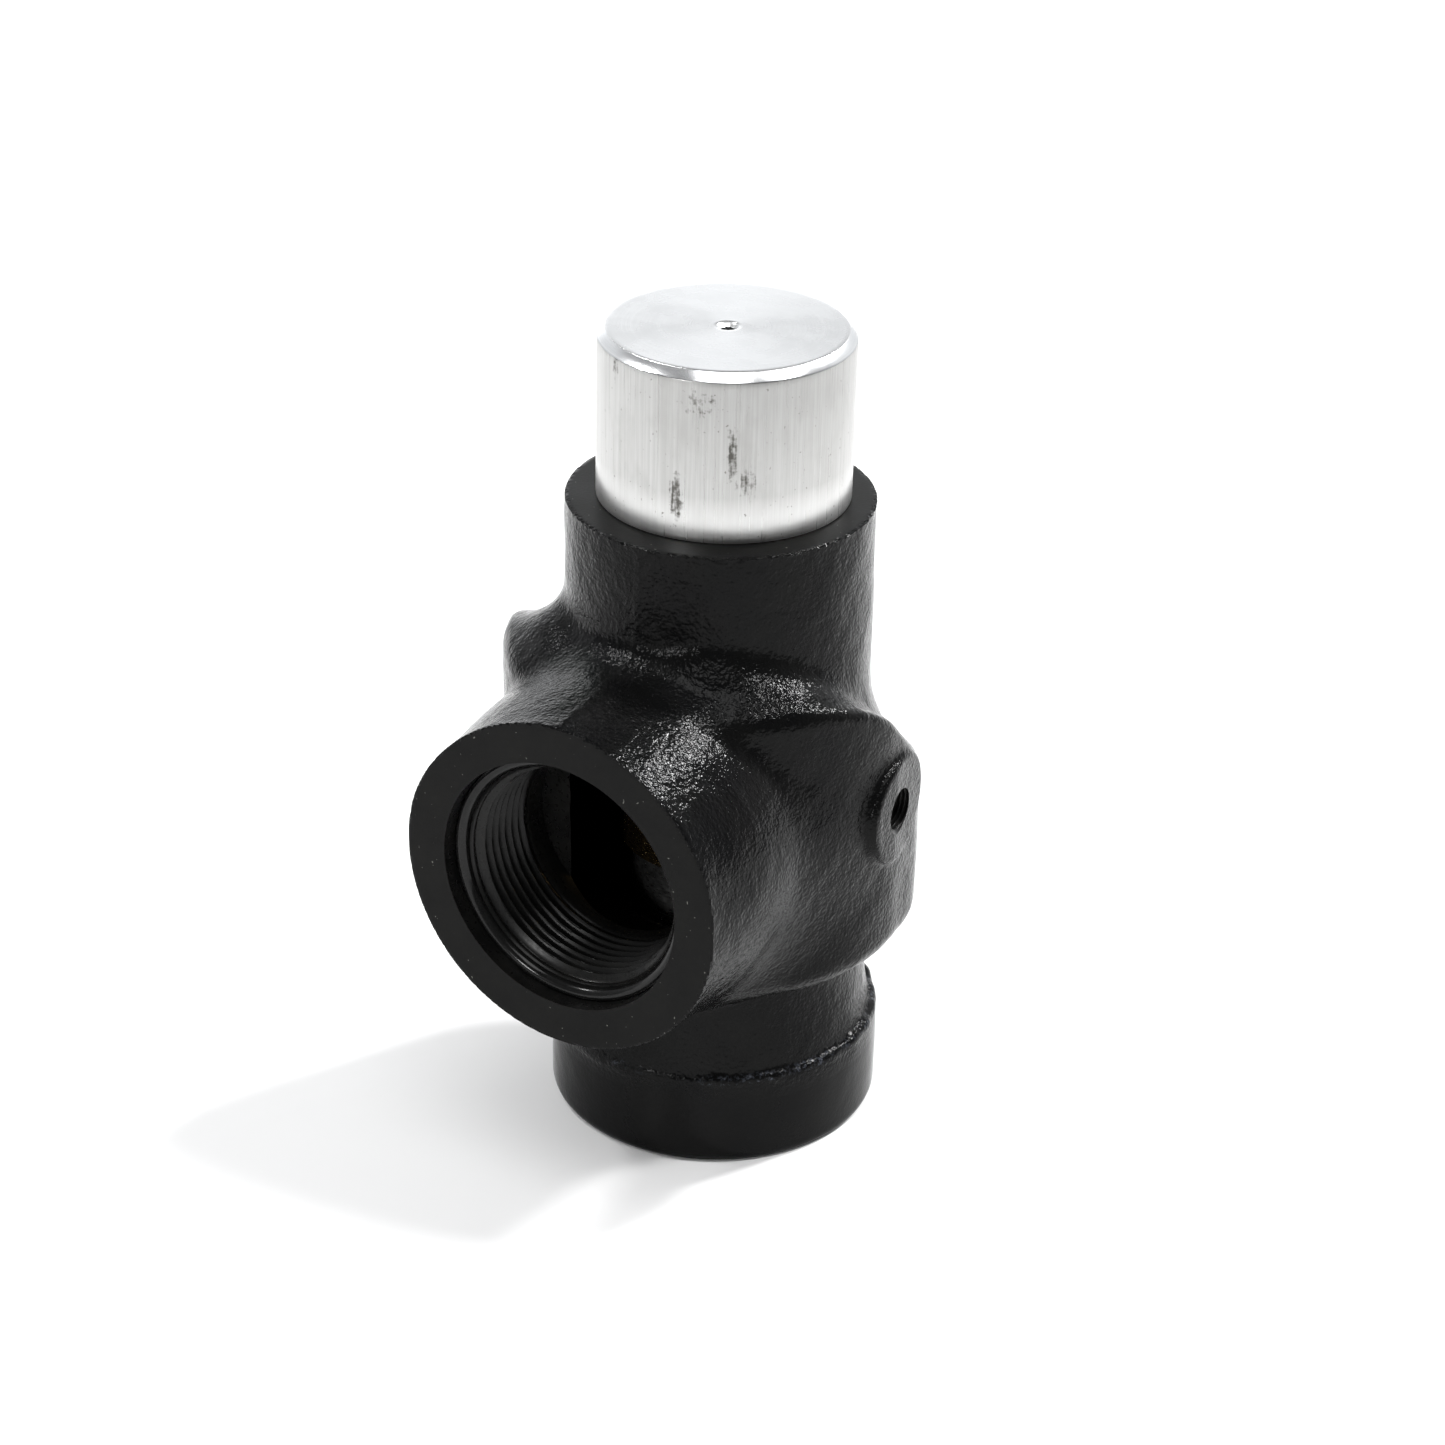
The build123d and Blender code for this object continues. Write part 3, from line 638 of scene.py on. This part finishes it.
BY_SLOT = {
    "painted_casting": CAST_PAINT,
    "bare_aluminium": ALU,
    "polished_steel": POLISHED,
    "stainless_steel": STAINLESS,
    "plated_steel": PLATED,
    "spring_steel": SPRING,
    "bronze": BRONZE,
    "black_rubber": RUBBER,
    "white_polymer": POLYMER,
}
for entry in frame["record"]["subparts"]:
    node = frame["nodes"][entry["node"]]
    node.data.materials.clear()
    node.data.materials.append(BY_SLOT[entry["material_slot"]])
    smooth(node)


# ---------------------------------------------------------------- body
def thread_rows(start, end, radius, taper, fade_in, fade_out, step):
    """Rows of a threaded stretch: the ridge grows in and out at its ends."""
    rows = []
    n = int(round((end - start) / step))
    for i in range(n + 1):
        s = start + (end - start) * i / n
        k = min(1.0, (s - start) / fade_in) * min(1.0, (end - s) / fade_out)
        rows.append((s, radius - taper * (s - start), max(0.0, k)))
    return rows


def build_body():
    """The casting, meshed from its field, with the machined bores cut into it."""
    lo = np.array([-45.5, -63.0, -2.5])
    hi = np.array([45.8, 44.0, 140.0])
    n = np.ceil((hi - lo) / VOXEL).astype(int)
    ax = [lo[i] + VOXEL * np.arange(n[i] + 1) for i in range(3)]
    field = np.empty([len(a) for a in ax], np.float32)
    y, z = ax[1][:, None].astype(np.float32), ax[2][None].astype(np.float32)
    for i, x in enumerate(ax[0]):
        field[i] = body_field(np.float32(x), y, z)
    p, quads = surface_nets(field, lo, VOXEL)
    p = settle(body_field, p, VOXEL)
    g = gradient(body_field, p)
    g /= np.maximum(np.linalg.norm(g, axis=1), 1e-6)[:, None]

    # the sand-cast skin, left off the faces that were machined
    faced = np.minimum(np.minimum(p[:, 1] - OUT_FACE, NECK_TOP - p[:, 2]), p[:, 2])
    faced = np.minimum(faced, np.abs(GAUGE_FACE - p[:, 0]))
    skin = ramp(faced, 0.05, 0.9)
    calm = 1 - 0.7 * (1 - ramp(p[:, 2], *BAND_TO_SKIN))
    lumps = 0.05 * noise(p, 1.7, 3) + 0.09 * noise(p, 3.6, 5) + 0.15 * noise(p, 9.0, 7)
    outer = ramp(np.abs(casting(*p.T)), 0.6, 0.2)
    seam = np.exp(-((p[:, 0] + 0.2 + 0.3 * noise(p, 8.0, 11)) / 0.42) ** 2)
    seam = seam * (0.12 + 0.10 * noise(p, 5.0, 13)) * outer * ramp(p[:, 2], 18.0, 24.0)
    p = p + g * (skin * (calm * lumps + seam - 0.08))[:, None]
    p = np.clip(p, np.array(cad_box[0]) / MM, np.array(cad_box[1]) / MM)

    centre = p[quads].mean(1)
    slots = np.full(len(quads), PAINTED)
    slots[centre[:, 1] < OUT_FACE + 0.06] = MACHINED
    slots[centre[:, 2] > NECK_TOP - 0.06] = MACHINED
    slots[centre[:, 2] < 0.06] = MACHINED
    slots[np.abs(casting(*centre.T)) > 1.0] = AS_CAST
    ob = make_mesh("body_casting", p, quads, BODY_MATERIALS, slots)

    # outlet: recess, rounded lip, cone, taper thread, run-out into the chamber
    rows = [(-2, RECESS_R, 0), (RECESS_DEPTH - 0.2, RECESS_R, 0), (RECESS_DEPTH, RECESS_R - 0.2, 0),
            (RECESS_DEPTH, RECESS_R - 0.45, 0), (3.2, RECESS_R - 0.55, 0)]
    for a in np.linspace(0, math.pi / 2, 17):
        rows.append((LIP_START + LIP_R * (1 - math.cos(a)), LIP_EDGE_R - LIP_R * math.sin(a), 0))
    for s, r, k in thread_rows(CONE_START, 22.5, OUTLET_R, NPT_TAPER, 0.01, 3.0, NPT_ROOT):
        cone = CONE_R - CONE_SLOPE * (s - CONE_START)
        rows.append((s, cone, max(0.0, r + NPT_DEPTH - cone) / NPT_DEPTH) if cone > r else (s, r, k))
    rows += [(22.6, RUN_OUT_R, 0), (27.5, RUN_OUT_R, 0)]
    large = (NPT_PITCH, NPT_DEPTH)
    lip = (LIP_START - 0.1, LIP_START + LIP_R + 0.05)
    cut(ob, make_tool("outlet_tool", rows, "Y", (0, OUT_FACE, OUT_Z), large, lip=lip))

    # inlet: thread, throat, seat bore and clip groove
    rows = [(-2, 24.2, 0), (0, 24.2, 0)]
    rows += thread_rows(1.6, 22.0, INLET_R, NPT_TAPER, 0.9, 3.0, NPT_ROOT)
    rows += [(22.1, RUN_OUT_R, 0), (27.0, THROAT_R, 0), (37.0, THROAT_R, 0), (37.0, SEAT_R, 0),
             (44.3, SEAT_R, 0), (44.3, CLIP_R, 0), (45.8, CLIP_R, 0), (45.8, SEAT_R, 0), (48.0, SEAT_R, 0)]
    cut(ob, make_tool("inlet_tool", rows, "Z", (0, 0, 0), large))

    # guide bore and neck bore
    rows = [(60.0, GUIDE_R, 0), (116.0, GUIDE_R, 0), (116.0, PLUG_R, 0), (NECK_TOP - 0.5, PLUG_R, 0),
            (NECK_TOP, PLUG_R + 0.5, 0), (139.0, PLUG_R + 0.5, 0)]
    cut(ob, make_tool("neck_tool", rows, "Z", (0, 0, 0), None))

    # gauge port
    rows = [(-1.5, 5.25, 0), (0, 5.25, 0)]
    rows += thread_rows(0.7, 7.4, GAUGE_R, NPT_TAPER, 0.4, 1.0, GAUGE_PITCH / 12)
    rows += [(7.5, GAUGE_R - 0.2, 0), (12.0, GAUGE_R - 0.2, 0)]
    small = (GAUGE_PITCH, GAUGE_DEPTH)
    cut(ob, make_tool("gauge_tool", rows, "X", (GAUGE_FACE, 0, GAUGE_Z), small, 96))
    smooth(ob)
    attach(ob, "valve_body")
    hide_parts("body")


def face_outwards(ob):
    """Turns every face of a closed mesh outwards."""
    bm = bmesh.new()
    bm.from_mesh(ob.data)
    bmesh.ops.recalc_face_normals(bm, faces=bm.faces)
    bm.to_mesh(ob.data)
    bm.free()


def make_tool(name, rows, axis, origin, thread, segments=FINE_TURN, lip=(0, 0)):
    """Closed cutter; the rows inside `lip` leave the glossy finish, the others the bored one."""
    pts, faces = lathe(rows, axis, origin, segments, thread)
    low, high = lip
    of_row = [GLOSSY if low <= a[0] and b[0] <= high else BORED for a, b in zip(rows, rows[1:])]
    slots = np.append(np.repeat(of_row, segments), [BORED, BORED])
    ob = make_mesh(name, pts, faces, BODY_MATERIALS, slots)
    face_outwards(ob)
    return ob


build_body()


# ---------------------------------------------------------------- cap
def build_cap():
    """Turned shell: open underside, outside thread and groove, plain side, chamfer, drill mark."""
    rows = [(130.0, CAP_HOLLOW_R, 0), (130.0, CAP_THREAD_R - 0.4, 0), (130.6, CAP_THREAD_R, 0)]
    rows += thread_rows(130.7, 134.6, CAP_THREAD_R, 0.0, 0.5, 0.3, CAP_PITCH / 14)
    rows += [(134.7, 20.5, 0), (136.9, 20.5, 0), (136.95, 22.42, 0), (137.5, 22.42, 0)]
    rows += [(137.5, CAP_R - 0.2, 0), (137.55, CAP_R - 0.07, 0), (137.7, CAP_R, 0)]
    rows += [(z, CAP_R, 0) for z in np.linspace(138.5, CAP_TOP - CAP_CHAMFER - 0.12, 24)]
    rows += [(CAP_TOP - CAP_CHAMFER, CAP_R - 0.04, 0), (CAP_TOP - CAP_CHAMFER + 0.1, CAP_R - 0.13, 0)]
    rows += [(CAP_TOP - 0.12, CAP_R - CAP_CHAMFER + 0.1, 0)]
    rows += [(CAP_TOP - 0.03, CAP_R - CAP_CHAMFER - 0.04, 0)]
    rows += [(CAP_TOP, r, 0) for r in np.linspace(CAP_R - CAP_CHAMFER - 0.16, 2.3, 30)]
    rows += [(CAP_TOP - 0.05, 2.2, 0), (CAP_TOP - 0.8, DRILL_R, 0), (CAP_TOP - 5.0, DRILL_R, 0)]
    rows += [(CAP_TOP - 5.7, 0.05, 0)]
    pts, faces = lathe(rows, "Z", (0, 0, 0), CAP_TURN, (CAP_PITCH, CAP_DEPTH))

    # the hollow's wall and roof close the underside, in place of the flat end
    faces.pop(-2)
    n = len(pts)
    t = np.arange(CAP_TURN) * TAU / CAP_TURN
    rim = [CAP_HOLLOW_R * np.cos(t), CAP_HOLLOW_R * np.sin(t), np.full(CAP_TURN, CAP_HOLLOW_TOP)]
    pts = np.concatenate([pts, np.stack(rim, 1)])
    for j in range(CAP_TURN):
        k = (j + 1) % CAP_TURN
        faces.append([j, n + j, n + k, k])
    faces.append([n + j for j in range(CAP_TURN)])

    ob = make_mesh("cap_shell", pts, faces, [ALU, ALU_FACE, ALU_EDGE])
    for face in ob.data.polygons:
        height = face.center.z / MM
        out = math.hypot(face.center.x, face.center.y) / MM
        if height > CAP_TOP - 0.08 or out < 4.0:
            face.material_index = TURNED
        elif height > CAP_TOP - CAP_CHAMFER:
            face.material_index = EDGE
    face_outwards(ob)
    smooth(ob)
    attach(ob, "cap")
    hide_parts("cap")


build_cap()


# ---------------------------------------------------------------- spring
def build_spring():
    """Coil carried by the spring plate set; its end turns are ground flat."""
    steps, sides = int(SPRING_TURNS * 48), 16
    t = np.arange(steps + 1) / steps
    turn = TAU * SPRING_TURNS * t[:, None]
    mid = SPRING_LOW + (SPRING_HIGH - SPRING_LOW) * t[:, None]
    a = TAU * np.arange(sides)[None] / sides
    out = SPRING_R + WIRE_R * np.cos(a)
    z = np.clip(mid + WIRE_R * np.sin(a), SPRING_LOW, SPRING_HIGH)
    pts = np.stack([out * np.cos(turn), out * np.sin(turn), z], -1).reshape(-1, 3)
    i, j = np.meshgrid(np.arange(steps), np.arange(sides), indexing="ij")
    k = (j + 1) % sides
    quads = np.stack([i * sides + j, (i + 1) * sides + j, (i + 1) * sides + k, i * sides + k], -1)
    faces = quads.reshape(-1, 4)[:, ::-1].tolist()
    faces.append(list(range(sides)))
    faces.append([steps * sides + q for q in reversed(range(sides))])
    ob = make_mesh("spring_coil", pts, faces, [SPRING])
    smooth(ob)
    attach(ob, "spring_plate_set")
    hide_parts("main_spring")
    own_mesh(ob)


build_spring()


# ---------------------------------------------------------------- setting, metres
FLOOR_HALF = 3.0
LIT_POINT = Vector((0, 0, 0.09))
SENSOR, FOCAL_PIXELS, PICTURE_PIXELS = 36.0, 3294.85, 1445


def studio():
    """Pale floor, soft surroundings and six softboxes."""
    g = Graph("pale_floor")
    a = g.noise(40, 2)
    mat = g.set(color=g.mix(a, (0.87, 0.87, 0.87), (0.89, 0.89, 0.89)), rough=0.8)
    me = bpy.data.meshes.new("floor")
    s = FLOOR_HALF
    me.from_pydata([(-s, -s, 0), (s, -s, 0), (s, s, 0), (-s, s, 0)], [], [(0, 1, 2, 3)])
    me.materials.append(mat)
    floor = bpy.data.objects.new("floor", me)
    bpy.context.scene.collection.objects.link(floor)

    world = bpy.data.worlds.new("studio")
    bpy.context.scene.world = world
    world.use_nodes = True
    tree = world.node_tree
    background = tree.nodes["Background"]
    background.inputs["Color"].default_value = (0.97, 0.985, 1, 1)
    where = tree.nodes.new("ShaderNodeTexCoord").outputs["Generated"]

    def graded(direction, low, high, a, b):
        """a to b as the way looked turns towards a direction."""
        dot = tree.nodes.new("ShaderNodeVectorMath")
        dot.operation = "DOT_PRODUCT"
        tree.links.new(where, dot.inputs[0])
        dot.inputs[1].default_value = Vector(direction).normalized()
        out = tree.nodes.new("ShaderNodeMapRange")
        tree.links.new(dot.outputs["Value"], out.inputs["Value"])
        for key, v in (("From Min", low), ("From Max", high), ("To Min", a), ("To Max", b)):
            out.inputs[key].default_value = v
        return out.outputs[0]

    def product(a, b):
        out = tree.nodes.new("ShaderNodeMath")
        out.operation = "MULTIPLY"
        tree.links.new(a, out.inputs[0])
        tree.links.new(b, out.inputs[1])
        return out.outputs[0]

    sides = graded((-0.5, 0.85, -0.05), -0.6, 0.75, 0.16, 1.0)
    above = graded((0, 0, 1), 0.46, 0.60, 1.0, 0.48)
    lower_left = graded((-0.63, 0.76, 0.10), 0.90, 0.985, 1.0, 2.1)
    tree.links.new(product(product(sides, above), lower_left), background.inputs["Strength"])

    def softbox(name, direction, distance, size, radiance):
        """Square light facing the object, of a given brightness."""
        data = bpy.data.lights.new(name, "AREA")
        data.shape, data.size = "SQUARE", size
        data.energy = radiance * math.pi * size * size
        ob = bpy.data.objects.new(name, data)
        d = Vector(direction).normalized()
        ob.location = LIT_POINT + d * distance
        ob.rotation_euler = d.to_track_quat("Z", "Y").to_euler()
        bpy.context.scene.collection.objects.link(ob)

    softbox("key_back_right", (0.35, 0.64, 0.68), 3.0, 0.29, 280)
    softbox("top_right", (0.50, 0.20, 0.84), 3.0, 0.29, 145)
    softbox("top_left", (-0.56, 0.03, 0.83), 3.0, 0.29, 88)
    softbox("front_left", (-0.66, -0.32, 0.68), 3.0, 0.29, 85)
    softbox("front", (-0.12, -0.95, 0.28), 3.0, 0.4, 45)
    softbox("overhead", (0.16, -0.33, 0.93), 2.2, 1.1, 4.2)


def camera():
    """Camera above and to the right of the outlet; its axes and place are in metres."""
    data = bpy.data.cameras.new("camera")
    data.sensor_width = SENSOR
    data.lens = SENSOR * FOCAL_PIXELS / PICTURE_PIXELS
    data.clip_start, data.clip_end = 0.01, 50
    ob = bpy.data.objects.new("camera", data)
    bpy.context.scene.collection.objects.link(ob)
    right = Vector((0.86132, 0.50759, 0.02206))
    up = Vector((-0.25526, 0.39478, 0.88261))
    back = right.cross(up)
    m = Matrix((right, up, back)).transposed().to_4x4()
    m.translation = Vector((0.29820, -0.51806, 0.40333))
    ob.matrix_world = m
    bpy.context.scene.camera = ob


studio()
camera()
bpy.context.scene.view_settings.view_transform = "Standard"
